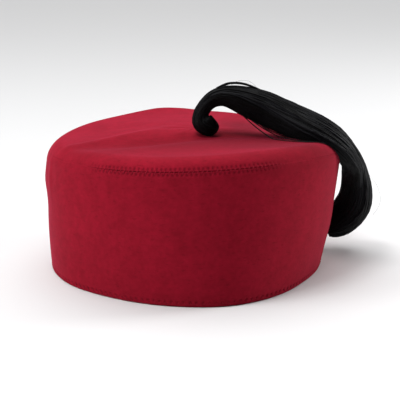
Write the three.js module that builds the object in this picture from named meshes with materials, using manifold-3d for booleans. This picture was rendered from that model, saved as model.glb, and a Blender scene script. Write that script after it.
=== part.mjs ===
// A soft felt fez: a domed top disc, a side band with a turned up hem, and a thread tassel that
// rises from the middle of the top, leans over the right edge and hangs beside the band.
// Millimetres, +Z up. The front faces -Y and the tassel falls towards +X.

import * as THREE from 'three';
import { mergeVertices } from 'three/addons/utils/BufferGeometryUtils.js';
import Module from 'manifold-3d';

// Outline of the hat, outside of the felt
const rimRadius = 94.2;
const crownRadius = 100;
const wallHeight = 79.5;
const edgeHeight = 91.6;
const wallFlare = 1.76;
const shoulderRadius = 12;
const domeRise = 3.8;
const leanAtRim = -2.9;

// Felt, hem and seam
const feltThickness = 2;
const gap = 0.3;
const hemThickness = 3.6;
const hemHeight = 13;
const hemRounding = 0.9;
const seamTurn = 25;
const allowanceWidth = 7;
const allowanceThickness = 1.5;

// The whole footprint, tassel included, is centred on the origin
const hatX = -12.5;
const hatY = -1;

const segments = 72;

// The round is uneven: waves per turn, as a share of the radius or in mm of height
const rimWaves = [
  { waves: 2, cos: 0.007, sin: 0.026 },
  { waves: 3, cos: -0.029, sin: 0.015 },
];
const crownWaves = [
  { waves: 2, cos: 0.01, sin: 0.005 },
  { waves: 3, cos: 0, sin: -0.004 },
];
const heightWaves = [
  { waves: 1, cos: -0.8, sin: -2.1 },
  { waves: 2, cos: -2.8, sin: -2.3 },
  { waves: 3, cos: 0.1, sin: -1.5 },
];

// Folds and dents of the top: middle, direction, half length, half width and rise
const topFolds = [
  { x: -52, y: -18, turn: 36, length: 40, width: 6, rise: 1.6 },
  { x: -26, y: -30, turn: 20, length: 42, width: 12, rise: -3.6 },
  { x: 20, y: -20, turn: 6, length: 34, width: 13, rise: -1.8 },
  { x: -28, y: 90, turn: 8, length: 12, width: 14, rise: 0.8 },
  { x: -58, y: 76, turn: 35, length: 26, width: 16, rise: -0.9 },
  { x: 8, y: 88, turn: -10, length: 14, width: 16, rise: -1.4 },
  { x: 44, y: 84, turn: -20, length: 14, width: 16, rise: 0.8 },
  { x: 2, y: -12, turn: 0, length: 14, width: 12, rise: 0.8 },
];

// Folds and dents of the wall: angle, height, half spread, half height and rise
const wallFolds = [
  { angle: 182, height: 88, spread: 18, tall: 10, rise: -1.3 },
  { angle: 183, height: 65, spread: 20, tall: 7, rise: 0.8 },
  { angle: 184, height: 47, spread: 22, tall: 10, rise: -0.5 },
  { angle: 350, height: 34, spread: 14, tall: 14, rise: 0.8 },
  { angle: 286, height: 0, spread: 15, tall: 30, rise: 1.4 },
  { angle: 328, height: 4, spread: 15, tall: 22, rise: -1.3 },
  { angle: 214, height: 0, spread: 12, tall: 14, rise: 1.2 },
  { angle: 38, height: 46, spread: 18, tall: 16, rise: -1 },
  { angle: 112, height: 40, spread: 26, tall: 20, rise: 1.2 },
];

// Sections of the tassel from its hooked foot to its hanging end: middle, half height, half depth
const tasselSections = [
  { x: 16.5, y: -13.5, z: 98.6, tall: 6.5, deep: 5.8 },
  { x: 10.2, y: -13.5, z: 99.4, tall: 7.2, deep: 6.4 },
  { x: 5.2, y: -13, z: 102.2, tall: 6.9, deep: 6.2 },
  { x: 4.3, y: -12.5, z: 107, tall: 5.3, deep: 5.2 },
  { x: 6.1, y: -12, z: 111.3, tall: 4.9, deep: 5 },
  { x: 9.1, y: -11.5, z: 115, tall: 5.1, deep: 5 },
  { x: 13.3, y: -11, z: 117.9, tall: 5.7, deep: 5.6 },
  { x: 19, y: -10.5, z: 119.3, tall: 6.5, deep: 6.8 },
  { x: 26, y: -10, z: 118.5, tall: 8, deep: 8.2 },
  { x: 36, y: -10, z: 115.3, tall: 10, deep: 9.6 },
  { x: 47.6, y: -10, z: 110.9, tall: 11.2, deep: 11.2 },
  { x: 59.3, y: -12, z: 106, tall: 11.3, deep: 13.5 },
  { x: 71.1, y: -15, z: 101.5, tall: 11, deep: 16.5 },
  { x: 83, y: -18, z: 96.6, tall: 10.6, deep: 19 },
  { x: 93.8, y: -16, z: 90, tall: 9.6, deep: 19 },
  { x: 103, y: -8, z: 80.8, tall: 7.9, deep: 16 },
  { x: 110.2, y: 2, z: 70.3, tall: 7.6, deep: 12 },
  { x: 114, y: 13, z: 58.1, tall: 9.5, deep: 10.6 },
  { x: 115.9, y: 18.5, z: 46.7, tall: 11, deep: 11.4 },
  { x: 114.8, y: 23, z: 35.6, tall: 12.8, deep: 12.2 },
  { x: 110.4, y: 26.5, z: 26.8, tall: 12.7, deep: 12.4 },
  { x: 103.4, y: 29, z: 20, tall: 12, deep: 11.6 },
  { x: 96, y: 30, z: 16.2, tall: 10.6, deep: 10 },
];

// Core of the tassel: it fills the whole section at the foot and a share of it further on
const coreShare = 0.84;
const coreFullTo = 0.1;
const coreThinFrom = 0.3;
const coreEnd = 0.985;
const coreEndLength = 0.06;
const coreSides = 10;
const coreSteps = 40;

// Locks of the tassel: where they start and end along it, and how much they twist and vary
const lockCount = 9;
const lockStart = 0.1;
const lockStagger = 0.02;
const shortLockEnd = 0.965;
const lockEndLength = 0.1;
const lockSides = 7;
const lockSteps = 26;
const lockShare = 0.4;
const lockTwist = 150;
const lockVariation = 0.12;

const weldDistance = 1e-5;

function felt(name, color) {
  return new THREE.MeshStandardMaterial({ name, color, roughness: 0.95, metalness: 0 });
}

const crownFelt = felt('crown_felt', 0xa82c44);
const bandFelt = felt('band_felt', 0x8c1b33);
const silk = new THREE.MeshStandardMaterial({ name: 'tassel_silk', color: 0x121216, roughness: 0.5 });

const { degToRad, euclideanModulo, lerp, smoothstep } = THREE.MathUtils;
const bell = (distance, spread) => Math.exp(-((distance / spread) ** 2));

// Outline of the hat in its own plane. Station 0 to 1 is the wall, 1 to 2 the rounded shoulder
// and 2 to 3 the dome. Gives radius and height, and the direction into the felt.
function outline(station) {
  if (station <= 1) {
    const radius = rimRadius + (crownRadius - rimRadius) * (1 - (1 - station) ** wallFlare);
    return { radius, height: wallHeight * station, inward: -1, down: 0 };
  }
  if (station <= 2) {
    const turn = ((station - 1) * Math.PI) / 2;
    const rise = edgeHeight - wallHeight;
    const across = rise * Math.cos(turn);
    const up = shoulderRadius * Math.sin(turn);
    const size = Math.hypot(across, up);
    return {
      radius: crownRadius - shoulderRadius * (1 - Math.cos(turn)),
      height: wallHeight + rise * Math.sin(turn),
      inward: -across / size,
      down: -up / size,
    };
  }
  const share = 3 - station;
  return {
    radius: (crownRadius - shoulderRadius) * share,
    height: edgeHeight + (domeRise * (1 + Math.cos(Math.PI * share))) / 2,
    inward: 0,
    down: -1,
  };
}

function waveSum(rows, angle) {
  let sum = 0;
  for (const row of rows) {
    const turn = row.waves * angle;
    sum += row.cos * Math.cos(turn) + row.sin * Math.sin(turn);
  }
  return sum;
}

function topRelief(x, y) {
  let rise = 0;
  for (const fold of topFolds) {
    const turn = degToRad(fold.turn);
    const along = (x - fold.x) * Math.cos(turn) + (y - fold.y) * Math.sin(turn);
    const across = (y - fold.y) * Math.cos(turn) - (x - fold.x) * Math.sin(turn);
    rise += fold.rise * bell(along, fold.length) * bell(across, fold.width);
  }
  return rise;
}

function wallRelief(angle, height) {
  let rise = 0;
  for (const fold of wallFolds) {
    const ahead = angle - degToRad(fold.angle) + Math.PI;
    const turn = euclideanModulo(ahead, 2 * Math.PI) - Math.PI;
    rise += fold.rise * bell(turn, degToRad(fold.spread)) * bell(height - fold.height, fold.tall);
  }
  return rise;
}

// A point of the hat at an angle and a station, moved into the felt by the inset
function hatPoint(angle, station, inset = 0) {
  const line = outline(station);
  const share = Math.min(line.height / edgeHeight, 1);
  const stretch = 1 + (1 - share) * waveSum(rimWaves, angle) + share * waveSum(crownWaves, angle);
  const onTop = Math.min(3 - station, 1) ** 2;
  const lift = share * waveSum(heightWaves, angle) * onTop;
  const outer = line.radius * stretch + wallRelief(angle, line.height) * Math.min(3 - station, 1);
  const folds = station > 1 ? topRelief(outer * Math.cos(angle), outer * Math.sin(angle)) : 0;
  const radius = outer + inset * line.inward;
  return new THREE.Vector3(
    radius * Math.cos(angle) + leanAtRim * (1 - share),
    radius * Math.sin(angle),
    line.height + lift + folds * Math.min(station - 1, 1) + inset * line.down,
  );
}

// Closed skin over rows of points. A row is a ring of points or one point where the skin closes,
// and with loop the last row joins the first.
function skin(rows, loop = false) {
  const places = [];
  const starts = rows.map((row) => {
    const start = places.length;
    places.push(...row);
    return start;
  });
  const sides = Math.max(...rows.map((row) => row.length));
  const place = (row, side) => starts[row] + (rows[row].length === 1 ? 0 : side % sides);
  const index = [];
  const lastRow = loop ? rows.length : rows.length - 1;
  for (let row = 0; row < lastRow; row += 1) {
    const next = (row + 1) % rows.length;
    for (let side = 0; side < sides; side += 1) {
      const a = place(row, side);
      const b = place(next, side);
      const c = place(next, side + 1);
      const d = place(row, side + 1);
      if (a !== d) index.push(a, d, c);
      if (b !== c) index.push(a, c, b);
    }
  }
  const geometry = new THREE.BufferGeometry().setFromPoints(places);
  geometry.setIndex(index);
  return geometry;
}

// A row of the hat's skin: a full ring, or one point where the dome's middle is reached
function hatRow({ station, inset }) {
  if (station === 3) return [hatPoint(0, station, inset)];
  const angles = Array.from({ length: segments }, (_, i) => (2 * Math.PI * i) / segments);
  return angles.map((angle) => hatPoint(angle, station, inset));
}

function stations(from, to, steps, inset) {
  const shares = Array.from({ length: steps + 1 }, (_, i) => i / steps);
  return shares.map((share) => ({ station: lerp(from, to, share), inset }));
}

// Stations per mm along the wall, and along the shoulder at the seam
const seamStation = 1 + seamTurn / 90;
const perWallMm = 1 / wallHeight;
const seamRadius = Math.hypot(
  shoulderRadius * Math.sin(degToRad(seamTurn)),
  (edgeHeight - wallHeight) * Math.cos(degToRad(seamTurn)),
);
const perSeamMm = 2 / (Math.PI * seamRadius);

// Rows that the felt pieces and the tassel's seat share, so that their faces run alongside
const wallRows = (inset) => stations(hemRounding * perWallMm, 1, 7, inset);
const lowShoulderRows = (edge, inset) => stations(lerp(1, edge, 0.5), edge, 1, inset);
const topRows = (edge, inset) => [...stations(edge, 2, 4, inset), ...stations(2.12, 3, 7, inset)];

function crownTop() {
  const edge = seamStation + (gap / 2) * perSeamMm;
  return skin([...topRows(edge, feltThickness).reverse(), ...topRows(edge, 0)].map(hatRow));
}

function sideBand() {
  const edge = seamStation - (gap / 2) * perSeamMm;
  const ledgeTop = feltThickness + gap;
  const ledgeUnder = ledgeTop + allowanceThickness;
  const ledgeEnd = seamStation + allowanceWidth * perSeamMm;
  const rounding = hemRounding * perWallMm;
  const outside = [...wallRows(0), ...lowShoulderRows(edge, 0)];
  const ledge = [...stations(edge, ledgeEnd, 2, ledgeTop), ...stations(ledgeEnd, edge, 2, ledgeUnder)];
  const inside = stations(1, hemHeight * perWallMm, 5, feltThickness);
  const hem = [
    { station: (hemHeight - hemRounding) * perWallMm, inset: hemThickness },
    { station: rounding, inset: hemThickness },
    { station: 0, inset: hemThickness - hemRounding },
    { station: 0, inset: hemRounding },
  ];
  return skin([...outside, ...ledge, ...inside, ...hem].map(hatRow), true);
}

async function manifoldTools() {
  const wasm = await Module();
  wasm.setup();
  const toSolid = (geometry) => {
    const bare = geometry.clone();
    bare.deleteAttribute('normal');
    bare.deleteAttribute('uv');
    const merged = mergeVertices(bare, weldDistance);
    const mesh = new wasm.Mesh({
      numProp: 3,
      vertProperties: new Float32Array(merged.attributes.position.array),
      triVerts: new Uint32Array(merged.index.array),
    });
    return new wasm.Manifold(mesh);
  };
  const toGeometry = (solid) => {
    const mesh = solid.getMesh();
    const geometry = new THREE.BufferGeometry();
    geometry.setAttribute('position', new THREE.BufferAttribute(mesh.vertProperties, 3));
    geometry.setIndex(new THREE.BufferAttribute(mesh.triVerts, 1));
    return geometry;
  };
  return { toSolid, toGeometry };
}

// The tassel's middle line, and the half height and half depth along it
const tasselLine = new THREE.CatmullRomCurve3(
  tasselSections.map(({ x, y, z }) => new THREE.Vector3(x, y, z)),
  false,
  'centripetal',
);

function tasselSection(share) {
  const at = share * (tasselSections.length - 1);
  const row = Math.min(Math.floor(at), tasselSections.length - 2);
  const mix = (key) => lerp(tasselSections[row][key], tasselSections[row + 1][key], at - row);
  const middle = tasselLine.getPoint(share);
  const along = tasselLine.getTangent(share);
  const deepWay = new THREE.Vector3(0, 1, 0);
  deepWay.addScaledVector(along, -deepWay.dot(along)).normalize();
  const tallWay = new THREE.Vector3().crossVectors(deepWay, along);
  return { middle, tallWay, deepWay, tall: mix('tall'), deep: mix('deep') };
}

function offset({ middle, tallWay, deepWay }, tall, deep) {
  return middle.clone().addScaledVector(tallWay, tall).addScaledVector(deepWay, deep);
}

// A body along part of the tassel, rounded at both ends. The reach function gives, at each share of
// its own length, where its middle lies in the tassel's section and its half height and depth.
function strand(from, to, steps, sides, endLength, reach) {
  const rows = [];
  for (let step = 0; step <= steps; step += 1) {
    const share = step / steps;
    const section = tasselSection(from + (to - from) * share);
    const { tall, deep, halfTall, halfDeep } = reach(share, section);
    if (step === 0 || step === steps) {
      rows.push([offset(section, tall, deep)]);
    } else {
      const fromEnd = Math.min(share, 1 - share) / endLength;
      const round = Math.sqrt(1 - Math.max(1 - fromEnd, 0) ** 2);
      rows.push(
        Array.from({ length: sides }, (_, i) => {
          const turn = (2 * Math.PI * i) / sides;
          const outTall = tall + halfTall * round * Math.cos(turn);
          return offset(section, outTall, deep + halfDeep * round * Math.sin(turn));
        }),
      );
    }
  }
  return skin(rows);
}

function tasselCore() {
  return strand(0, coreEnd, coreSteps, coreSides, coreEndLength, (share, section) => {
    const full = 1 - (1 - coreShare) * smoothstep(share, coreFullTo, coreThinFrom);
    return { tall: 0, deep: 0, halfTall: section.tall * full, halfDeep: section.deep * full };
  });
}

// One lock winds a little round the core. Odd locks stop sooner, so the hanging end is uneven.
function tasselLock(number) {
  const start = lockStart + lockStagger * (number % 3);
  const end = number % 2 ? shortLockEnd : 1;
  const spread = 1 - lockShare;
  return strand(start, end, lockSteps, lockSides, lockEndLength, (share, section) => {
    const turn = (2 * Math.PI * number) / lockCount + degToRad(lockTwist) * share;
    const size = lockShare * (1 + lockVariation * Math.sin(5 * number + 4 * share));
    return {
      tall: spread * section.tall * Math.cos(turn),
      deep: spread * section.deep * Math.sin(turn),
      halfTall: size * section.tall,
      halfDeep: size * section.deep,
    };
  });
}

// The hat's outer form as one solid block, a gap larger all over, which seats the tassel on it
function seat() {
  const edge = seamStation;
  const side = [{ station: 0, inset: -gap }, ...wallRows(-gap), ...lowShoulderRows(edge, -gap)];
  const rows = [...side, ...topRows(edge, -gap).slice(1)];
  return skin([[new THREE.Vector3(leanAtRim, 0, 0)], ...rows.map(hatRow)]);
}

async function tassel() {
  const { toSolid, toGeometry } = await manifoldTools();
  let solid = toSolid(tasselCore());
  for (let number = 0; number < lockCount; number += 1) solid = solid.add(toSolid(tasselLock(number)));
  return toGeometry(solid.subtract(toSolid(seat())));
}

const hat = new THREE.Group();
hat.position.set(hatX, hatY, 0);

function addPiece(name, geometry, material) {
  const mesh = new THREE.Mesh(geometry, material);
  mesh.name = name;
  hat.add(mesh);
}

addPiece('crown_top', crownTop(), crownFelt);
addPiece('side_band', sideBand(), bandFelt);
addPiece('tassel', await tassel(), silk);

const group = new THREE.Group();
group.add(hat);

export default group;
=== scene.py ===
"""A low soft felt fez with a black thread tassel, dressed over its solid model.

Shapes are worked out in millimetres about the hat's own upright axis, and each mesh is made in
metres with that axis at its place in the frame. The front faces -Y and the tassel falls to +X.
"""

import math
import bpy
import numpy as np
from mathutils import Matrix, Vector


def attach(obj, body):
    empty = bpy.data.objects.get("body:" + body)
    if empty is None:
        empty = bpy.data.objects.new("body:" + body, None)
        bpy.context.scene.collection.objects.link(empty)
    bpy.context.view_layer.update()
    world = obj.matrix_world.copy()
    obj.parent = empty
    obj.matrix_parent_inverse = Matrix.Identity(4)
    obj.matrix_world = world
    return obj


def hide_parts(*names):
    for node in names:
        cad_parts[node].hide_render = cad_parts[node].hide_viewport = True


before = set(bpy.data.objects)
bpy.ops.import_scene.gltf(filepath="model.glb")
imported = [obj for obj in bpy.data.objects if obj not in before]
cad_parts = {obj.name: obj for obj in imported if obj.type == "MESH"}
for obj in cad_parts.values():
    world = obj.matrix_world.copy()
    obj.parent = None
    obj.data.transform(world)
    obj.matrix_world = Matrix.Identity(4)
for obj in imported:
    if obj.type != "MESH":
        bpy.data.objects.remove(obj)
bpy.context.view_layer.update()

MM = 0.001
TAU = 2 * math.pi

# Outline of the hat, outside of the felt
RIM_RADIUS = 94.2
CROWN_RADIUS = 100
WALL_HEIGHT = 79.5
EDGE_HEIGHT = 91.6
WALL_FLARE = 1.76
SHOULDER_RADIUS = 12
DOME_RISE = 3.8
LEAN_AT_RIM = -2.9
AXIS_PLACE = np.array([-12.5, -1.0, 0.0])

# Felt, hem and seam
FELT = 2.0
GAP = 0.3
HEM_THICKNESS = 3.6
HEM_HEIGHT = 13
HEM_ROUNDING = 0.9
SEAM_TURN = 25
ALLOWANCE_WIDTH = 7
ALLOWANCE_THICKNESS = 1.5

# Waves per turn, cosine share and sine share
RIM_WAVES = [(2, 0.007, 0.026), (3, -0.029, 0.015)]
CROWN_WAVES = [(2, 0.01, 0.005), (3, 0, -0.004)]
HEIGHT_WAVES = [(1, -0.8, -2.1), (2, -2.8, -2.3), (3, 0.1, -1.5)]

# Folds and dents of the top: middle x and y, direction, half length, half width and rise
TOP_FOLDS = [
    (-52, -18, 36, 40, 6, 1.6),
    (-80, -41, 34, 14, 5, 0.7),
    (-26, -30, 20, 42, 12, -3.6),
    (20, -20, 6, 34, 13, -1.8),
    (-28, 90, 8, 12, 14, 0.8),
    (-58, 76, 35, 26, 16, -0.9),
    (8, 88, -10, 14, 16, -1.4),
    (44, 84, -20, 14, 16, 0.8),
    (2, -12, 0, 14, 12, 0.8),
]

# Folds and dents of the wall: angle, height, half spread, half height and rise
WALL_FOLDS = [
    (182, 88, 18, 10, -1.3),
    (183, 65, 20, 7, 0.8),
    (184, 47, 22, 10, -0.5),
    (350, 34, 14, 14, 0.8),
    (286, 0, 15, 30, 1.4),
    (328, 4, 15, 22, -1.3),
    (214, 0, 12, 14, 1.2),
    (201, 72, 2, 12, 0.5),
    (38, 46, 18, 16, -1),
    (112, 40, 26, 20, 1.2),
]

# Painted shade on the top, in its hollows and under and beside the tassel: middle x and y, direction,
# half length, half width, share
PAINTED_SHADE_PATCHES = [
    (-22, -42, 14, 62, 26, 0.72),
    (46, -38, -4, 42, 24, 0.76),
    (48, -68, -12, 56, 22, 0.3),
    (64, -53, 12, 26, 9, 0.65),
    (24, -84, -3, 52, 7, 0.32),
    (36, 22, 84, 34, 18, 1.15),
]
# The painted shade patches fade in over these heights
SHADE_FROM = 80
SHADE_BY = 90

# Stitches: how many go round, and how far their holes lie from the seam and the rim
SEAM_STITCHES = 216
HOLE_ABOVE = 1.4
HOLE_BELOW = 1.75
HEM_STITCHES = 152
HEM_HOLE_HEIGHT = 3.2

# The pull of the seam's thread: its tightest angle, its slackest share, and where it turns tight
SEAM_TIGHTEST = 266
SLACKEST = 0.06
TIGHT_FROM = 0.56
TIGHT_BY = 0.8

# Swell of the felt beside the seam: distance above it, spread and rise
SEAM_SWELLS = [(-0.2, 2.6, 0.25), (3.5, 5, 0.7)]
SEAM_DIMPLE_SPREAD = 0.9
HEM_DIMPLE_SPREAD = 0.8
DIMPLE_DEPTH = 0.5

# Slow waves of hand-shaped felt: how many are summed, their size, and their most drift per mm
SLOW_WAVES = 8
SLOW_WAVE_SIZE = 0.22
SLOW_WAVE_DRIFT = 0.12

# Sections of the tassel from its hooked foot to its hanging end: middle, half height, half depth
TASSEL = np.array(
    [
        (16.5, -13.5, 98.6, 6.5, 5.8),
        (10.2, -13.5, 99.4, 7.2, 6.4),
        (5.2, -13, 102.2, 6.9, 6.2),
        (4.3, -12.5, 107, 5.3, 5.2),
        (6.1, -12, 111.3, 4.9, 5),
        (9.1, -11.5, 115, 5.1, 5),
        (13.3, -11, 117.9, 5.7, 5.6),
        (19, -10.5, 119.3, 6.5, 6.8),
        (26, -10, 118.5, 8, 8.2),
        (36, -10, 115.3, 10, 9.6),
        (47.6, -10, 110.9, 11.2, 11.2),
        (59.3, -12, 106, 11.3, 13.5),
        (71.1, -15, 101.5, 11, 16.5),
        (83, -18, 96.6, 10.6, 19),
        (93.8, -16, 90, 9.6, 19),
        (103, -8, 80.8, 7.9, 16),
        (110.2, 2, 70.3, 7.6, 12),
        (114, 13, 58.1, 9.5, 10.6),
        (115.9, 18.5, 46.7, 11, 11.4),
        (114.8, 23, 35.6, 12.8, 12.2),
        (110.4, 26.5, 26.8, 12.7, 12.4),
        (103.4, 29, 20, 12, 11.6),
        (96, 30, 16.2, 10.6, 10),
    ]
)
# The way that counts as up for the tassel's threads: nearly the frame's +Y
THREAD_UP = np.array([0.0, 1.0, 0.02])


# Form of the hat


def bell(distance, spread):
    """A smooth bump, 1 at no distance and falling off as the exponential of minus distance squared."""
    return np.exp(-((distance / spread) ** 2))


def outline(station):
    """Radius, height and inward direction of the hat's outline in its own plane.

    Station 0 to 1 is the wall, a power curve from the rim out to the widest round. 1 to 2 is the
    shoulder, a quarter of an ellipse. 2 to 3 is the dome, half a wave of a cosine up to the middle.
    """
    wall = np.clip(station, 0, 1)
    turn = np.clip(station - 1, 0, 1) * math.pi / 2
    share = np.clip(3 - station, 0, 1)
    rise = EDGE_HEIGHT - WALL_HEIGHT
    radius = RIM_RADIUS + (CROWN_RADIUS - RIM_RADIUS) * (1 - (1 - wall) ** WALL_FLARE)
    radius = np.where(station > 1, CROWN_RADIUS - SHOULDER_RADIUS * (1 - np.cos(turn)), radius)
    radius = np.where(station > 2, (CROWN_RADIUS - SHOULDER_RADIUS) * share, radius)
    height = WALL_HEIGHT * wall + rise * np.sin(turn)
    height = height + np.where(station > 2, DOME_RISE * (1 + np.cos(math.pi * share)) / 2, 0)
    across = rise * np.cos(turn)
    up = SHOULDER_RADIUS * np.sin(turn)
    size = np.hypot(across, up)
    return radius, height, -across / size, -up / size


def wave_sum(rows, angle):
    """Sum of cosine and sine waves, each with a whole number of waves per turn."""
    return sum(c * np.cos(n * angle) + s * np.sin(n * angle) for n, c, s in rows)


def patch_sum(rows, x, y):
    """Sum of long soft patches, each a bell along its own direction times a bell across it."""
    total = 0
    for middle_x, middle_y, turn, length, width, height in rows:
        c, s = math.cos(math.radians(turn)), math.sin(math.radians(turn))
        along = (x - middle_x) * c + (y - middle_y) * s
        across = (y - middle_y) * c - (x - middle_x) * s
        total = total + height * bell(along, length) * bell(across, width)
    return total


def wall_relief(angle, height):
    """Sum of soft bumps and dents of the wall, each a bell round the hat times a bell up it."""
    rise = 0
    for middle, level, spread, tall, depth in WALL_FOLDS:
        turn = np.mod(angle - math.radians(middle) + math.pi, TAU) - math.pi
        rise = rise + depth * bell(turn, math.radians(spread)) * bell(height - level, tall)
    return rise


def hat_points(angle, station, inset=0.0):
    """Points of the hat at an angle and a station, moved into the felt by the inset.

    The outline is turned about the axis, its radius stretched by the waves, its top lifted by the
    height waves, and the folds added: those of the wall outwards and those of the top upwards.
    """
    radius, height, inward, down = outline(station)
    share = np.minimum(height / EDGE_HEIGHT, 1)
    stretch = 1 + (1 - share) * wave_sum(RIM_WAVES, angle) + share * wave_sum(CROWN_WAVES, angle)
    on_edge = np.minimum(3 - station, 1)
    outer = radius * stretch + wall_relief(angle, height) * on_edge
    on_top = np.clip(station - 1, 0, 1)
    folds = patch_sum(TOP_FOLDS, outer * np.cos(angle), outer * np.sin(angle)) * on_top
    lift = share * wave_sum(HEIGHT_WAVES, angle) * on_edge**2
    reach = outer + inset * inward
    x = reach * np.cos(angle) + LEAN_AT_RIM * (1 - share)
    y = reach * np.sin(angle)
    return np.stack(np.broadcast_arrays(x, y, height + lift + folds + inset * down), -1)


# Lengths along the outline, measured from the rim, and the stations that they stand for
STATION_STEPS = np.linspace(0, 3, 3001)
LENGTH_STEPS = np.concatenate(
    [[0], np.cumsum(np.hypot(*np.diff(np.array(outline(STATION_STEPS)[:2]), axis=1)))]
)
SEAM_LENGTH = float(np.interp(1 + SEAM_TURN / 90, STATION_STEPS, LENGTH_STEPS))
TOP_LENGTH = float(LENGTH_STEPS[-1])


def station_at(length):
    """The station at a length along the outline."""
    return np.interp(length, LENGTH_STEPS, STATION_STEPS)


def outward(angle, length):
    """The outline's outward direction at an angle and a length along it."""
    _, _, inward, down = outline(station_at(length))
    return np.stack(np.broadcast_arrays(-inward * np.cos(angle), -inward * np.sin(angle), -down), -1)


def undulation(angle, length):
    """Slow uneven waves of hand-shaped felt: a sum of sines, each whole round the hat and drifting
    as it climbs, and the lower the more of them there are to a turn."""
    draw = np.random.default_rng(4)
    total = 0
    for _ in range(SLOW_WAVES):
        turns = draw.integers(2, 11)
        rate = draw.uniform(-SLOW_WAVE_DRIFT, SLOW_WAVE_DRIFT)
        total = total + np.sin(turns * angle + rate * length + draw.uniform(0, TAU)) / math.sqrt(turns)
    return SLOW_WAVE_SIZE * total / 2


def seam_pull(angle):
    """How hard the thread pulls: hard at the front and the back, and slack at the two sides. It goes
    smoothly from slack to hard with the square of the cosine of the angle from the tightest place."""
    square = np.cos(angle - math.radians(SEAM_TIGHTEST)) ** 2
    share = np.clip((square - TIGHT_FROM) / (TIGHT_BY - TIGHT_FROM), 0, 1)
    return SLACKEST + (1 - SLACKEST) * share**2 * (3 - 2 * share)


def dimples(phase, power):
    """A row of dimples round the hat: half a cosine wave plus a half, to a power that narrows them."""
    return (np.cos(phase) * 0.5 + 0.5) ** power


def felt_relief(angle, length):
    """Fine relief of the outside: slow waves, needle dimples and the felt's swell between them."""
    from_seam = length - SEAM_LENGTH
    phase = angle * SEAM_STITCHES
    rise = sum(height * bell(from_seam - middle, spread) for middle, spread, height in SEAM_SWELLS)
    above = dimples(phase, 2) * bell(from_seam - HOLE_ABOVE, SEAM_DIMPLE_SPREAD)
    below = dimples(phase + math.pi, 2) * bell(from_seam + HOLE_BELOW, SEAM_DIMPLE_SPREAD)
    hem = dimples(angle * HEM_STITCHES, 3) * bell(length - HEM_HOLE_HEIGHT, HEM_DIMPLE_SPREAD)
    sewn = seam_pull(angle) * (rise - DIMPLE_DEPTH * (above + below))
    return sewn - DIMPLE_DEPTH * hem + undulation(angle, length)


def felt_skin(angle, length, inset, outside):
    """Points of a felt piece. Where it is the outside, the fine relief is added along the outline's
    outward direction."""
    relief = felt_relief(angle, length) * outside
    return hat_points(angle, station_at(length), inset - relief)


def painted_shade_tone(places):
    """How much painted shade lies at places of the top, 0 to 1: a sum of long soft patches in its hollows
    and under and beside the tassel.
    """
    total = patch_sum(PAINTED_SHADE_PATCHES, places[:, 0], places[:, 1])
    on_top = np.clip((places[:, 2] - SHADE_FROM) / (SHADE_BY - SHADE_FROM), 0, 1)
    return np.clip(total * on_top, 0, 1)


# Meshes


def make_mesh(name, places, faces, uv, material, tones=None):
    """One mesh object from places in mm and lists of faces, each an array of rows of corner indices
    with its corners' UVs. Tones are one number per place."""
    mesh = bpy.data.meshes.new(name)
    places = (places.reshape(-1, 3) + AXIS_PLACE) * MM
    totals = np.concatenate([np.full(len(f), f.shape[1]) for f in faces])
    corners = np.concatenate([f.ravel() for f in faces])
    cloth = np.concatenate([u.reshape(-1, 2) for u in uv])
    mesh.vertices.add(len(places))
    mesh.vertices.foreach_set("co", places.astype(np.float32).ravel())
    mesh.loops.add(len(corners))
    mesh.loops.foreach_set("vertex_index", corners.astype(np.int32))
    mesh.polygons.add(len(totals))
    mesh.polygons.foreach_set("loop_start", (np.cumsum(totals) - totals).astype(np.int32))
    mesh.polygons.foreach_set("loop_total", totals.astype(np.int32))
    mesh.polygons.foreach_set("use_smooth", np.ones(len(totals), dtype=bool))
    layer = mesh.uv_layers.new(name="cloth")
    layer.data.foreach_set("uv", cloth.astype(np.float32).ravel())
    if tones is not None:
        attribute = mesh.attributes.new("tone", "FLOAT", "POINT")
        attribute.data.foreach_set("value", tones.astype(np.float32).ravel())
    mesh.update(calc_edges=True)
    mesh.validate()
    mesh.materials.append(material)
    piece = bpy.data.objects.new(name, mesh)
    bpy.context.collection.objects.link(piece)
    return piece


def drop_loose(places, faces):
    """Leaves out the places that no face uses, and numbers the faces' corners again."""
    used = np.zeros(len(places), dtype=bool)
    for face in faces:
        used[face.ravel()] = True
    renumber = np.cumsum(used) - 1
    return places[used], [renumber[face] for face in faces]


def ring_quads(index, closed):
    """Quads between each row of an index grid and the next, closed round each row. Where the rows
    themselves close, the last row joins the first."""
    low, high = index, np.roll(index, -1, axis=0)
    if not closed:
        low, high = low[:-1], high[:-1]
    return np.stack([low, np.roll(low, -1, 1), np.roll(high, -1, 1), high], -1)


# Added to the length in an inner face's UVs, so that the needle holes stay outside
INNER_UV = 1000
FELT_SIDES = SEAM_STITCHES * 5


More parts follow.
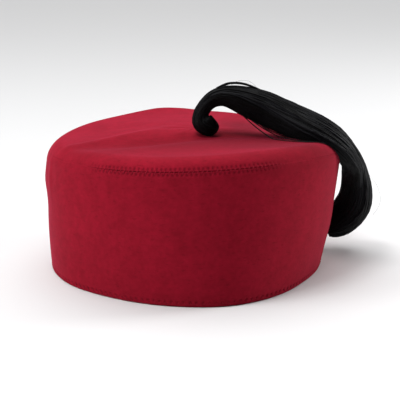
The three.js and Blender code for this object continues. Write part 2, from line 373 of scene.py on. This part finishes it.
def ring_mesh(name, section, material):
    """A felt piece: a section of rows (length, inset, outside) carried round the hat's axis.

    A section that starts and ends on the axis closes there in two points, and any other joins its
    last row to its first. The UVs are the share of a turn and the length in mm.
    """
    section = np.array(section)
    angle = np.arange(FELT_SIDES) * TAU / FELT_SIDES
    length, inset, outside = (section[:, k : k + 1] for k in range(3))
    places = felt_skin(angle[None], length, inset, outside).reshape(-1, 3)
    index = np.arange(len(places)).reshape(-1, FELT_SIDES)
    polar = section[0, 0] >= TOP_LENGTH
    if polar:
        index[0] = index[0, 0]
        index[-1] = index[-1, 0]
    quads = ring_quads(index, not polar)
    count = len(quads)
    after = np.roll(section, -1, axis=0)
    inner = INNER_UV * (1 - np.minimum(section[:, 2], after[:, 2]))
    uv = np.empty(quads.shape + (2,))
    uv[..., 0] = (np.arange(FELT_SIDES) / FELT_SIDES)[None, :, None] + np.array([0, 1, 1, 0]) / FELT_SIDES
    uv[..., 0:2, 1] = (section[:, 0] + inner)[:count, None, None]
    uv[..., 2:4, 1] = (after[:, 0] + inner)[:count, None, None]
    if polar:
        first, last = [0, 2, 3], [0, 1, 2]
        faces = [quads[0][:, first], quads[1:-1].reshape(-1, 4), quads[-1][:, last]]
        uvs = [uv[0][:, first], uv[1:-1].reshape(-1, 4, 2), uv[-1][:, last]]
    else:
        faces = [quads.reshape(-1, 4)]
        uvs = [uv.reshape(-1, 4, 2)]
    places, faces = drop_loose(places, faces)
    # Each place's tone is the painted shade of the top's hollows and of the tassel's shadow
    return make_mesh(name, places, faces, uvs, material, painted_shade_tone(places))


def rows(lengths, inset, outside=0):
    """Rows of a felt section at these lengths along the outline, all at one inset."""
    return [(length, inset, outside) for length in lengths]


def rounded(start, way, radius):
    """Rows along a quarter round that leaves the outside at start and reaches its radius inwards."""
    steps = np.linspace(0, math.pi / 2, 4)[1:]
    return [(start + way * radius * math.sin(a), radius * (1 - math.cos(a)), 0) for a in steps]


# The seam as it shows: how far its edges are rounded, and how wide it gapes
LIP = 0.06
SEAM_OPENING = 0.01
# Rows lie close together for a stretch beside the seam and one above the rim
FINE_STEP = 0.45
FINE_STRETCH = 9
HEM_STEP = 0.5
HEM_STRETCH = 6
# How many rows the plain stretches have
TOP_ROWS = 36
TOP_INSIDE_ROWS = 12
SHOULDER_INSIDE_ROWS = 5
WALL_ROWS = 24
WALL_INSIDE_ROWS = 11
HEM_INSIDE_ROWS = 4


def crown_section():
    """The top disc: its inside from the middle out to the seam, a rounded edge, and its outside back."""
    edge = SEAM_LENGTH + SEAM_OPENING / 2
    bend = edge + FINE_STRETCH
    inside = rows(np.linspace(TOP_LENGTH, bend + 1, TOP_INSIDE_ROWS), FELT)
    inside += rows(np.linspace(bend - 1, edge, SHOULDER_INSIDE_ROWS), FELT)
    lip = rounded(edge + LIP, -1, LIP)[::-1]
    near = rows(np.arange(edge + LIP, bend, FINE_STEP), 0, 1)
    far = rows(np.linspace(bend, TOP_LENGTH, TOP_ROWS), 0, 1)
    return inside + lip + near + far


def band_section():
    """The side wall: outside from the rim up to the seam, a rounded edge, the seam allowance turned in
    under the top disc, the inside down to the turned up hem, and the flat rim."""
    edge = SEAM_LENGTH - SEAM_OPENING / 2
    bend = edge - FINE_STRETCH
    ledge = FELT + GAP
    under = ledge + ALLOWANCE_THICKNESS
    hem_rows = rows(np.arange(HEM_ROUNDING, HEM_STRETCH, HEM_STEP), 0, 1)
    wall_rows = rows(np.linspace(HEM_STRETCH + 0.2, bend, WALL_ROWS), 0, 1)
    near = rows(np.arange(bend + 0.4, edge - LIP, FINE_STEP), 0, 1)
    lip = rounded(edge - LIP, 1, LIP)
    across = [edge, edge + ALLOWANCE_WIDTH / 2, edge + ALLOWANCE_WIDTH]
    allowance = rows(across, ledge) + rows(across[::-1], under)
    inside = rows(np.linspace(edge - 4, HEM_HEIGHT + 0.6, WALL_INSIDE_ROWS), FELT)
    hem = rows(np.linspace(HEM_HEIGHT, HEM_ROUNDING, HEM_INSIDE_ROWS), HEM_THICKNESS)
    rim = rows([0], HEM_THICKNESS - HEM_ROUNDING) + rows([0], HEM_ROUNDING)
    return hem_rows + wall_rows + near + lip + allowance + inside + hem + rim


def tube_sides(paths, up):
    """Side and top directions of paths (count, steps, 3): the side is square to the path and to up,
    and the top is square to the path and the side."""
    along = np.gradient(paths, axis=1)
    along /= np.linalg.norm(along, axis=-1, keepdims=True)
    side = np.cross(along, up)
    side /= np.linalg.norm(side, axis=-1, keepdims=True)
    return side, np.cross(side, along)


def thread_mesh(name, paths, radii, sides, up, material, tones=0.0):
    """Many threads as one mesh: a regular ring of places round each step of each path, closed at both
    ends by one face. The UVs are the share of a turn and the length in mm."""
    count, steps = paths.shape[:2]
    side, top = tube_sides(paths, up)
    turn = np.arange(sides) * TAU / sides
    ring = np.cos(turn)[:, None] * side[:, :, None] + np.sin(turn)[:, None] * top[:, :, None]
    places = paths[:, :, None] + ring * radii[..., None, None]
    index = np.arange(count * steps * sides).reshape(count, steps, sides)
    low, high = index[:, :-1], index[:, 1:]
    quads = np.stack([low, high, np.roll(high, -1, 2), np.roll(low, -1, 2)], -1).reshape(-1, 4)
    length = np.cumsum(np.linalg.norm(np.diff(paths, axis=1, prepend=paths[:, :1]), axis=-1), axis=1)
    uv = np.empty(low.shape + (4, 2))
    uv[..., 0] = (np.arange(sides)[:, None] + np.array([0, 0, 1, 1])) / sides
    uv[..., 1] = np.stack([length[:, :-1], length[:, 1:], length[:, 1:], length[:, :-1]], -1)[:, :, None]
    caps = np.concatenate([index[:, 0], index[:, -1, ::-1]])
    uvs = [uv.reshape(-1, 4, 2), np.zeros(caps.shape + (2,))]
    tone = np.broadcast_to(np.reshape(tones, (-1, 1, 1)), index.shape)
    return make_mesh(name, places, [quads, caps], uvs, material, tone)


# Shader maths


class Value:
    """A shader socket. Arithmetic on it adds Math nodes to its material."""

    def __init__(self, paint, socket):
        self.paint = paint
        self.socket = socket

    def _math(self, operation, first, second):
        return self.paint.node("ShaderNodeMath", {"operation": operation}, {0: first, 1: second})

    def __add__(self, other):
        return self._math("ADD", self, other)

    def __radd__(self, other):
        return self._math("ADD", other, self)

    def __sub__(self, other):
        return self._math("SUBTRACT", self, other)

    def __rsub__(self, other):
        return self._math("SUBTRACT", other, self)

    def __mul__(self, other):
        return self._math("MULTIPLY", self, other)

    def __rmul__(self, other):
        return self._math("MULTIPLY", other, self)

    def __truediv__(self, other):
        return self._math("DIVIDE", self, other)

    def __rtruediv__(self, other):
        return self._math("DIVIDE", other, self)

    def __pow__(self, other):
        return self._math("POWER", self, other)


class Paint:
    """One material and the few ways in which its nodes are made."""

    def __init__(self, name):
        self.material = bpy.data.materials.new(name)
        self.material.use_nodes = True
        self.tree = self.material.node_tree
        self.shader = self.tree.nodes["Principled BSDF"]

    def fill(self, node, inputs):
        """Sets a node's sockets to values or links."""
        for key, value in inputs.items():
            if isinstance(value, Value):
                self.tree.links.new(value.socket, node.inputs[key])
            else:
                node.inputs[key].default_value = value

    def node(self, kind, settings=None, inputs=None, output=0):
        """A node of a type, with its settings set first and then its sockets' values or links."""
        made = self.tree.nodes.new(kind)
        for key, value in (settings or {}).items():
            setattr(made, key, value)
        self.fill(made, inputs or {})
        return Value(self, made.outputs[output])

    def noise(self, vector, scale, detail=2.0, roughness=0.5):
        """Noise about 0.5 that changes over a distance of one part of the scale."""
        inputs = {"Vector": vector, "Scale": scale, "Detail": detail, "Roughness": roughness}
        return self.node("ShaderNodeTexNoise", None, inputs)

    def ease(self, value, low, high, start=0.0, end=1.0):
        """Goes smoothly from start to end as the value goes from low to high."""
        inputs = {"Value": value, "From Min": low, "From Max": high, "To Min": start, "To Max": end}
        return self.node("ShaderNodeMapRange", {"interpolation_type": "SMOOTHSTEP"}, inputs)

    def mix(self, factor, first, second):
        """Goes from the first colour to the second as the factor goes from 0 to 1."""
        inputs = {"Factor": factor, 6: first, 7: second}
        return self.node("ShaderNodeMix", {"data_type": "RGBA"}, inputs, output=2)

    def combine(self, x, y):
        """A vector from two numbers."""
        return self.node("ShaderNodeCombineXYZ", None, {"X": x, "Y": y})

    def apply(self, operation, value):
        """A Math node's function of one number, such as SINE or FRACT."""
        return self.node("ShaderNodeMath", {"operation": operation}, {0: value})

    def bump(self, height, strength, distance):
        """A bent normal from a height, of at most the distance in mm."""
        inputs = {"Strength": strength, "Distance": distance * MM, "Height": height}
        return self.node("ShaderNodeBump", None, inputs)

    def tone(self):
        """The tone that a piece's mesh holds at each place."""
        return self.node("ShaderNodeAttribute", {"attribute_name": "tone"}, output="Fac")

    def cloth(self):
        """The two UV numbers of a piece: share of a turn, and length in mm."""
        uv = self.node("ShaderNodeUVMap", {"uv_map": "cloth"})
        turn = self.node("ShaderNodeSeparateXYZ", None, {"Vector": uv}, output="X")
        return turn, Value(self, turn.socket.node.outputs["Y"])

    def place(self):
        """Object coordinates in mm."""
        coords = self.node("ShaderNodeTexCoord", output="Object")
        inputs = {0: coords, "Scale": 1 / MM}
        return self.node("ShaderNodeVectorMath", {"operation": "SCALE"}, inputs)

    def finish(self, inputs):
        """Sets the main shader's sockets, and gives the material."""
        self.fill(self.shader, inputs)
        return self.material


# Colours of the felt and the threads, and the felt's sheen
DEEP_RED = (0.194, 0.0026, 0.011, 1)
BRIGHT_RED = (0.298, 0.005, 0.02, 1)
# A deeper red for the painted shade on the top and for the felt's own dark slubs
SHADE_AND_SLUB_RED = (DEEP_RED[0] * 0.55, DEEP_RED[1] * 0.4, DEEP_RED[2] * 0.5, 1)
# Red of the painted shade inside the needle holes
HOLE_SHADE_RED = (DEEP_RED[0] * 0.45, 0.0, DEEP_RED[2] * 0.5, 1)
SEWING_REDS = [(0.17, 0.0025, 0.011, 1), (0.27, 0.0045, 0.018, 1)]
SILK_BLACKS = [(0.0013, 0.0014, 0.0015, 1), (0.0046, 0.0046, 0.007, 1)]
CORE_BLACKS = [(0.002, 0.002, 0.003, 1), (0.006, 0.006, 0.008, 1)]
SHEEN_WEIGHT = 0.15
SHEEN_TINT = (1.0, 0.13, 0.29, 1)

# How much of the other colour the painted shade of the top, the slubs, the flecks and the painted shade
# of the needle holes bring in
PAINTED_SHADE_SHARE = 0.76
SLUB_SHARE = 0.32
FLECK_SHARE = 0.3
HOLE_SHADE_SHARE = 0.4
# Taken off the sum of the noises, so that it stays about the middle of the two reds
TONE_SHIFT = 1.08


def needle_hole(paint, turn, length, count, shift, level, width, tall):
    """1 in the middle of each hole of a row and 0 away from it. The holes lie count to a turn at one
    length, and their edge is an ellipse of that half width, a share of the pitch, and half height."""
    phase = paint.apply("FRACT", turn * count + (0.5 + shift)) - 0.5
    across = (phase / width) ** 2
    up = ((length - level) / tall) ** 2
    return paint.ease(across + up, 0.1, 1.6, 1.0, 0.0)


def needle_hole_shade(paint, turn, length, place):
    """Painted shade in all holes: two rows at the seam, as dark as its thread pulls, and one uneven row
    at the hem.
    """
    above = needle_hole(paint, turn, length, SEAM_STITCHES, 0, SEAM_LENGTH + HOLE_ABOVE, 0.3, 1.05)
    below = needle_hole(paint, turn, length, SEAM_STITCHES, 0.5, SEAM_LENGTH - HOLE_BELOW, 0.3, 1.1)
    hem = needle_hole(paint, turn, length, HEM_STITCHES, 0, HEM_HOLE_HEIGHT, 0.24, 1.0)
    hem = hem * paint.ease(paint.noise(place, 0.09, 1.0), 0.4, 0.58, 0.25, 1.0)
    square = paint.apply("COSINE", (turn - SEAM_TIGHTEST / 360) * TAU) ** 2
    pull = paint.ease(square, TIGHT_FROM, TIGHT_BY, SLACKEST, 1.0)
    return (above + below) * pull + hem * 0.8


def felt_material(name, grain_along_turn):
    """Crimson felt: mottled colour, short dark slubs, a fine fibre bump, soft pink sheen, painted shade
    in the top's hollows and under the tassel, and painted shade in the needle holes along the seam and
    the hem. The grain runs round the hat, or along X on the top."""
    paint = Paint(name)
    turn, length = paint.cloth()
    place = paint.place()
    flat = place
    upright = place
    if grain_along_turn:
        round_hat = turn * (TAU * CROWN_RADIUS)
        flat = paint.combine(round_hat, length)
        upright = paint.combine(round_hat, length * 0.25)
    stretched = paint.node("ShaderNodeMapping", None, {"Vector": flat, "Scale": (0.35, 1.0, 1.0)})
    cloud = paint.noise(place, 0.03)
    patch = paint.noise(place, 0.11)
    streak = paint.noise(upright, 0.06)
    mottle = paint.noise(place, 0.33, 4.0, 0.6)
    fibre = paint.noise(stretched, 2.4, 3.0, 0.6)
    slub = paint.ease(paint.noise(stretched, 0.8, 1.0, 0.4), 0.62, 0.74)
    fleck = paint.ease(paint.noise(stretched, 1.0, 1.0, 0.4), 0.64, 0.76)
    blend = cloud * 0.5 + patch * 0.75 + streak * 0.5 + mottle * 1.1 + fibre * 0.3 - TONE_SHIFT
    colour = paint.mix(blend, DEEP_RED, BRIGHT_RED)
    # Painted shade: a deeper red in the top's hollows and under and beside the tassel
    colour = paint.mix(paint.tone() * PAINTED_SHADE_SHARE, colour, SHADE_AND_SLUB_RED)
    colour = paint.mix(slub * SLUB_SHARE, colour, SHADE_AND_SLUB_RED)
    colour = paint.mix(fleck * FLECK_SHARE, colour, BRIGHT_RED)
    # Painted shade inside the needle holes of the seam and the hem
    colour = paint.mix(needle_hole_shade(paint, turn, length, place) * HOLE_SHADE_SHARE, colour, HOLE_SHADE_RED)
    return paint.finish(
        {
            "Base Color": colour,
            "Roughness": 0.92,
            "Normal": paint.bump(fibre * 0.6 + mottle * 0.5 - slub * 0.5, 0.35, 0.25),
            "Specular IOR Level": 0.1,
            "Sheen Weight": SHEEN_WEIGHT,
            "Sheen Roughness": 0.32,
            "Sheen Tint": SHEEN_TINT,
        }
    )


def sewing_material():
    """Crimson sewing thread, twisted: a slanted stripe round each thread gives its tone and bump."""
    paint = Paint("sewing_thread")
    turn, length = paint.cloth()
    twist = paint.apply("SINE", (turn + length * 1.4) * TAU)
    return paint.finish(
        {
            "Base Color": paint.mix(twist * 0.5 + 0.5, *SEWING_REDS),
            "Roughness": 0.8,
            "Normal": paint.bump(twist, 0.4, 0.1),
            "Specular IOR Level": 0.1,
            "Sheen Weight": 0.08,
            "Sheen Tint": SHEEN_TINT,
        }
    )


def silk_material():
    """Black silky thread: each strand has its own tone, with a fine twist along it."""
    paint = Paint("tassel_silk")
    turn, length = paint.cloth()
    twist = paint.apply("SINE", (turn + length * 0.9) * TAU)
    return paint.finish(
        {
            "Base Color": paint.mix(paint.tone(), *SILK_BLACKS),
            "Roughness": 0.58,
            "Normal": paint.bump(twist, 0.3, 0.08),
            "Specular IOR Level": 0.12,
        }
    )


def core_material():
    """The dark inside of the thread bundle, faintly streaked."""
    paint = Paint("tassel_core")
    streak = paint.noise(paint.place(), 0.8, 3.0)
    return paint.finish({"Base Color": paint.mix(streak, *CORE_BLACKS), "Roughness": 0.8})


BAND_FELT = felt_material("band_felt", True)
TOP_FELT = felt_material("top_felt", False)
SEWING = sewing_material()
SILK = silk_material()
CORE = core_material()


# Stitches

SEAM_THREAD_RADIUS = 0.46
HEM_THREAD_RADIUS = 0.26
# How deep both ends of a thread dive, and how far its middle stands above them
SEAM_DIVE = 0.95
SLACK_ARCH = 0.3
TIGHT_ARCH = 1.15
HEM_DIVE = 0.6
HEM_ARCH = 0.75
# A hem thread's share of the pitch, and how far it drops
HEM_SLANT = 0.42
HEM_DROP = 1.6


def seam_stitches():
    """The threads over the seam: each goes from a hole above it, slanting down to the hole half a
    pitch back below it, and both ends dive into the felt. The height over the felt is a half sine,
    to a power that flattens its top, and higher where the thread is pulled hard."""
    number = np.arange(SEAM_STITCHES)[:, None]
    draw = np.random.default_rng(11)
    share = np.linspace(0, 1, 9)[None]
    place = number + draw.uniform(-0.12, 0.12, number.shape) - 0.5 * share
    angle = place * TAU / SEAM_STITCHES
    length = SEAM_LENGTH + (HOLE_ABOVE - (HOLE_ABOVE + HOLE_BELOW) * share)
    arch = SLACK_ARCH + TIGHT_ARCH * seam_pull(angle)
    lift = -SEAM_DIVE + arch * np.sin(math.pi * share) ** 0.6
    paths = hat_points(angle, station_at(length), -lift)
    radii = np.full(paths.shape[:2], SEAM_THREAD_RADIUS) * draw.uniform(0.9, 1.15, number.shape)
    return thread_mesh("seam_stitches", paths, radii, 6, outward(angle, length), SEWING)


def hem_stitches():
    """The ticks of thread that show where the hem is caught: short, slanting from hole to hole."""
    number = np.arange(HEM_STITCHES)[:, None]
    draw = np.random.default_rng(12)
    share = np.linspace(0, 1, 7)[None]
    angle = (number + HEM_SLANT * share + draw.uniform(-0.1, 0.1, number.shape)) * TAU / HEM_STITCHES
    length = HEM_HOLE_HEIGHT - HEM_DROP * share
    lift = -HEM_DIVE + HEM_ARCH * np.sin(math.pi * share) ** 0.7
    paths = hat_points(angle, station_at(length), -lift)
    radii = np.full(paths.shape[:2], HEM_THREAD_RADIUS)
    return thread_mesh("hem_stitches", paths, radii, 5, outward(angle, length), SEWING)


# Tassel

CORE_STEPS = 90
CORE_SIDES = 28
CORE_SHARE = 0.86
# The core's last steps draw in to its end
CORE_TIP = [0.95, 0.8, 0.55, 0.2]
# Shares of the tassel's length: its foot grows round over the first, and it draws in after the second
FOOT_BY = 0.07
TIP_FROM = 0.93
TIP_DRAW = 0.2
STRAND_GROUPS = 3
STRANDS_PER_GROUP = 330
STRAND_STEPS = 60
STRAND_RADIUS = 0.34
# Strands in locks: their share of all, how far the locks lie out and spread, and how they wind
LOCKS = 9
IN_LOCKS = 0.35
LOCK_PLACE = 0.58
LOCK_SPREAD = 0.42
LOCK_TWIST = math.radians(150)
LOCK_WINDING = 1.4
SKIN_WINDING = 0.35
WANDER = 0.06
# How near the core, the strands and the loose threads come to the hat
CORE_CLEARANCE = 0.5
STRAND_CLEARANCE = 0.75
THREAD_CLEARANCE = 0.6


def smooth_curve(points, at):
    """A Catmull-Rom curve through points: each stretch is a cubic whose ends have the direction of the
    chord between their two neighbours. Gives its places and directions, and the row and the share
    within it, at numbers that count the points from 0."""
    ends = np.vstack([2 * points[0] - points[1], points, 2 * points[-1] - points[-2]])
    row = np.minimum(at.astype(int), len(points) - 2)
    t = (at - row)[..., None]
    before, start, end, after = (ends[row + k] for k in range(4))
    square = 2 * before - 5 * start + 4 * end - after
    cube = -before + 3 * start - 3 * end + after
    middle = 0.5 * (2 * start + (end - before) * t + square * t**2 + cube * t**3)
    along = (end - before) + 2 * square * t + 3 * cube * t**2
    return middle, along, row, t


def tassel_section(share):
    """Middle, tall way, deep way and the two half sizes at shares 0 to 1 of the tassel's length.

    The middle runs through the sections on a smooth curve. The half sizes go straight from one
    section to the next. The deep way is Y made square to the line, the tall way square to both.
    """
    at = np.clip(share, 0, 1) * (len(TASSEL) - 1)
    middle, along, row, t = smooth_curve(TASSEL[:, :3], at)
    along /= np.linalg.norm(along, axis=-1, keepdims=True)
    deep_way = np.array([0, 1, 0]) - along[..., 1:2] * along
    deep_way /= np.linalg.norm(deep_way, axis=-1, keepdims=True)
    tall_way = np.cross(deep_way, along)
    sizes = TASSEL[row, 3:] * (1 - t) + TASSEL[row + 1, 3:] * t
    return middle, tall_way, deep_way, sizes[..., 0], sizes[..., 1]


def in_tassel(share, tall, deep):
    """Points at shares of the tassel's length, tall and deep being shares of its two half sizes."""
    middle, tall_way, deep_way, half_tall, half_deep = tassel_section(share)
    return middle + tall_way * (tall * half_tall)[..., None] + deep_way * (deep * half_deep)[..., None]


def off_the_hat(points, clearance):
    """Points inside the hat, or nearer to its outside than the clearance, are moved straight out from
    the nearest place of its outline until they have it."""
    flat = points.reshape(-1, 3)
    angle = np.arctan2(flat[:, 1], flat[:, 0])[:, None]
    station = np.linspace(0.3, 3, 110)[None]
    away = flat[:, None] - hat_points(angle, station)
    near = np.argmin((away**2).sum(-1), axis=1)
    _, _, inward, down = outline(station[0, near])
    turn = angle[:, 0]
    normal = np.stack([-inward * np.cos(turn), -inward * np.sin(turn), -down], -1)
    gap = (away[np.arange(len(flat)), near] * normal).sum(-1)
    push = np.maximum(clearance - gap, 0)
    return (flat + normal * push[:, None]).reshape(points.shape)


def bundle_size(share):
    """Size of the bundle as a share of its sections: it grows from the foot as a quarter circle does,
    and draws in a little over its last stretch, as the square of the way into it."""
    foot = np.sqrt(1 - np.clip(1 - share / FOOT_BY, 0, 1) ** 2)
    tip = 1 - TIP_DRAW * np.clip((share - TIP_FROM) / (1 - TIP_FROM), 0, 1) ** 2
    return foot * tip


def tassel_core():
    """The inside of the bundle: ellipses on the tassel's line, at a share of its size."""
    share = np.linspace(0.004, 0.975, CORE_STEPS)
    turn = np.arange(CORE_SIDES) * TAU / CORE_SIDES
    size = CORE_SHARE * bundle_size(share)
    size[-len(CORE_TIP) :] *= CORE_TIP
    grid = np.broadcast_to(share[:, None], (CORE_STEPS, CORE_SIDES))
    places = in_tassel(grid, size[:, None] * np.cos(turn), size[:, None] * np.sin(turn))
    places = off_the_hat(places, CORE_CLEARANCE)
    index = np.arange(grid.size).reshape(grid.shape)
    quads = ring_quads(index, False).reshape(-1, 4)
    caps = np.stack([index[0, ::-1], index[-1]])
    uvs = [np.zeros(quads.shape + (2,)), np.zeros(caps.shape + (2,))]
    return make_mesh("tassel_core", places, [quads, caps], uvs, CORE)


def strand_paths(count, draw):
    """Strands of the bundle. A third of them lie in locks that wind slowly round it, between its middle
    and its skin, and the others in an even skin. Each wanders a little and ends at its own length."""
    start = draw.uniform(0.0, 0.03, (count, 1))
    end = 1 - draw.uniform(0, 1, (count, 1)) ** 2 * 0.06
    share = start + (end - start) * np.linspace(0, 1, STRAND_STEPS)
    lock = draw.integers(0, LOCKS, (count, 1)) * TAU / LOCKS
    own = draw.uniform(0, TAU, (count, 1))
    out = LOCK_SPREAD * np.sqrt(draw.uniform(0.3, 1, (count, 1)))
    twist = LOCK_TWIST * share
    wander = WANDER * np.sin(draw.uniform(6, 22, (count, 1)) * share + draw.uniform(0, TAU, (count, 1)))
    tall_lock = LOCK_PLACE * np.cos(lock + twist) + out * np.cos(own + LOCK_WINDING * twist)
    deep_lock = LOCK_PLACE * np.sin(lock + twist) + out * np.sin(own + LOCK_WINDING * twist)
    skin = draw.uniform(0.86, 0.98, (count, 1)) + wander * 0.45
    slant = own + SKIN_WINDING * twist + 2 * wander
    in_lock = draw.uniform(0, 1, (count, 1)) < IN_LOCKS
    size = bundle_size(share)
    tall = np.where(in_lock, tall_lock + wander, skin * np.cos(slant)) * size
    deep = np.where(in_lock, deep_lock + wander, skin * np.sin(slant)) * size
    return share, in_tassel(share, tall, deep)


def strand_radii(share, draw):
    """Strands lie thinner where the bundle is tight, and taper at the foot."""
    _, _, _, tall, _ = tassel_section(share)
    fullness = np.clip(tall / 9, 0.72, 1.1)
    taper = np.minimum(share * 40 + 0.4, 1)
    return STRAND_RADIUS * fullness * taper * draw.uniform(0.85, 1.15, (len(share), 1))


def tassel_strands(name, seed):
    """One group of the bundle's strands, each with a tone of its own, most of them dark."""
    draw = np.random.default_rng(seed)
    share, paths = strand_paths(STRANDS_PER_GROUP, draw)
    radii = strand_radii(share, draw)
    tones = draw.uniform(0, 1, STRANDS_PER_GROUP) ** 2
    return thread_mesh(name, off_the_hat(paths, STRAND_CLEARANCE), radii, 3, THREAD_UP, SILK, tones)


# Loose threads: those that sag under the bundle, those that stand off its top, and two stray hairs
SAGGING = [
    [(29.2, -13, 109.8), (33.2, -15, 106.4), (37.1, -18, 103.2), (41.7, -21, 99.7), (46.9, -25, 96.4),
     (53, -30, 93.4), (58.8, -35, 93.3), (66.7, -39, 93.4), (75.2, -42, 93.4), (85.3, -38, 91.6),
     (92.2, -31, 87.7)],
    [(33.9, -14, 107.2), (38.5, -17, 103.7), (44.4, -21, 100), (50.9, -24, 96.5), (57.4, -27, 94.1),
     (63.8, -31, 93.4), (71.6, -35, 92.8), (79.2, -36, 93), (87.8, -33, 90.6)],
    [(36, -14, 106.2), (42.6, -17, 102.7), (50.5, -20, 98.1), (59.1, -22, 95.1), (68.4, -25, 93.5),
     (78.2, -28, 92.8), (88, -28, 90.6)],
    [(45.3, -16, 103.5), (53.2, -19, 99.6), (62, -20, 96.4), (70.6, -22, 94.6), (79.8, -25, 93.3)],
]
STANDING = [
    [(14.6, -12, 125.4), (21, -12, 128.3), (26.4, -12, 129.1), (32.4, -12, 128.6), (38.6, -11, 126.4),
     (45.4, -10, 123.2), (53.6, -9, 119)],
    [(17.8, -9, 125.6), (25.2, -8, 127.9), (31.9, -8, 127.7), (38.7, -8, 125.6), (46.1, -9, 122),
     (53.6, -9, 118.4)],
    [(45.5, -9, 120.6), (55.7, -9, 118), (62.5, -9, 115.5), (68.6, -9, 113), (75, -10, 109.8)],
]
HAIRS = [
    [(23.7, -12, 126.6), (28.4, -13, 129.9), (33, -13, 130.5), (37.1, -12, 129.4), (40.4, -11, 126.8),
     (42.7, -10, 123.8)],
    [(122.9, 14, 60.3), (129.2, 14, 52.2), (132.1, 16, 45.8), (133.5, 18, 39.3), (132.6, 21, 32.5),
     (129.4, 23, 26.9)],
]
# Each kind's name, routes, copies of a route, spread in mm, radius in mm and seed
LOOSE_THREADS = [
    ("sagging_threads", SAGGING, 2, 0.35, 0.3, 31),
    ("standing_threads", STANDING, 5, 0.45, 0.22, 32),
    ("stray_hairs", HAIRS, 1, 0.1, 0.06, 33),
]
LOOSE_STEPS = 48


def loose_threads(name, routes, copies, spread, radius, seed):
    """Threads along listed routes, several to a route, each moved off it by a random shift that is
    a third at both ends and most in the middle, as half a sine wave is."""
    draw = np.random.default_rng(seed)
    bow = np.sin(np.linspace(0, math.pi, LOOSE_STEPS))[:, None]
    paths = []
    for route in routes:
        at = np.linspace(0, len(route) - 1, LOOSE_STEPS)
        middle = smooth_curve(np.array(route, dtype=float), at)[0]
        for _ in range(copies):
            paths.append(middle + draw.normal(0, spread, 3) * (0.35 + bow))
    paths = off_the_hat(np.array(paths), THREAD_CLEARANCE)
    return thread_mesh(name, paths, np.full(paths.shape[:2], radius), 5, THREAD_UP, SILK)


# Pieces


def dress(piece, slot, *nodes):
    """Puts a piece on the hat's one body and hides the solids that it stands for. Its slot, the name of
    its finish, is not used.
    """
    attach(piece, "root")
    if nodes:
        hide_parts(*nodes)


dress(ring_mesh("felt_top", crown_section(), TOP_FELT), "felt", "crown_top")
dress(ring_mesh("felt_band", band_section(), BAND_FELT), "felt", "side_band")
dress(seam_stitches(), "felt")
dress(hem_stitches(), "felt")
dress(tassel_core(), "tassel_silk", "tassel")
for group in range(STRAND_GROUPS):
    dress(tassel_strands(f"tassel_strands_{group + 1}", 20 + group), "tassel_silk")
for kind in LOOSE_THREADS:
    dress(loose_threads(*kind), "tassel_silk")


# Floor, light and camera

FLOOR_SIZE = 60.0
FLOOR_COLOUR = (0.64, 0.64, 0.645, 1)
SURROUND = 0.036
# The wide light over all: the way to it, its power and the angle of the bright patch of sky
OVERHEAD_WAY = (-0.28, 0.65, 2.4)
OVERHEAD_POWER = 3.0
OVERHEAD_SPREAD = 74
# Soft lights that face the hat: place and size in metres, and power
LIT_PLACE = (0, 0, 0.05)
SOFT_LIGHTS = {
    "window": ((-0.4, -0.4, 1.4), (0.4, 0.3), 8.4),
    "left": ((-1.25, -0.35, 0.5), (0.5, 0.8), 10.8),
    "right": ((1.2, 0.3, 0.5), (0.4, 0.7), 12.5),
}
CAMERA_DISTANCE = 0.75
CAMERA_ELEVATION = math.radians(14.85)
CAMERA_LENS = 96.26
CAMERA_SENSOR = 36
CAMERA_AIM_HEIGHT = 0.045
# The hat's middle stands a little left of the picture's middle
AIM_RIGHT = 0.00367
AIM_DOWN = 0.0007


def floor():
    """A plain pale floor, large enough to fill the view."""
    half = FLOOR_SIZE / 2
    corners = [(-half, -half, 0), (half, -half, 0), (half, half, 0), (-half, half, 0)]
    mesh = bpy.data.meshes.new("floor")
    mesh.from_pydata(corners, [], [(0, 1, 2, 3)])
    mesh.materials.append(Paint("floor").finish({"Base Color": FLOOR_COLOUR, "Roughness": 0.9}))
    piece = bpy.data.objects.new("floor", mesh)
    bpy.context.collection.objects.link(piece)


def place_facing(name, data, place, way):
    """Puts a light or a camera at a place in metres, looking along a way."""
    made = bpy.data.objects.new(name, data)
    made.location = place
    made.rotation_mode = "QUATERNION"
    made.rotation_quaternion = Vector(way).to_track_quat("-Z", "Y")
    bpy.context.collection.objects.link(made)
    return made


def lights():
    """Wide soft light from above and behind, as even on the far floor as on the near one, weaker soft
    lights at the front and both sides, and a dim surround."""
    sky = bpy.data.lights.new("overhead", "SUN")
    sky.energy = OVERHEAD_POWER
    sky.angle = math.radians(OVERHEAD_SPREAD)
    place_facing("overhead", sky, OVERHEAD_WAY, -Vector(OVERHEAD_WAY))
    for name, (place, size, power) in SOFT_LIGHTS.items():
        lamp = bpy.data.lights.new(name, "AREA")
        lamp.shape = "RECTANGLE"
        lamp.size, lamp.size_y = size
        lamp.energy = power
        place_facing(name, lamp, place, Vector(LIT_PLACE) - Vector(place))
    world = bpy.data.worlds.new("surround")
    world.use_nodes = True
    background = world.node_tree.nodes["Background"]
    background.inputs["Color"].default_value = (1, 1, 1, 1)
    background.inputs["Strength"].default_value = SURROUND
    bpy.context.scene.world = world
    bpy.context.scene.view_settings.view_transform = "Standard"


def camera():
    """The camera at the photograph's angle, aimed just right of the hat's axis."""
    middle = Vector(AXIS_PLACE * MM) + Vector((0, 0, CAMERA_AIM_HEIGHT))
    back = Vector((0, -math.cos(CAMERA_ELEVATION), math.sin(CAMERA_ELEVATION)))
    aim = middle + Vector((AIM_RIGHT, 0, -AIM_DOWN))
    place = middle + back * CAMERA_DISTANCE
    data = bpy.data.cameras.new("camera")
    data.lens = CAMERA_LENS
    data.sensor_width = CAMERA_SENSOR
    bpy.context.scene.camera = place_facing("camera", data, place, aim - place)


floor()
camera()
lights()
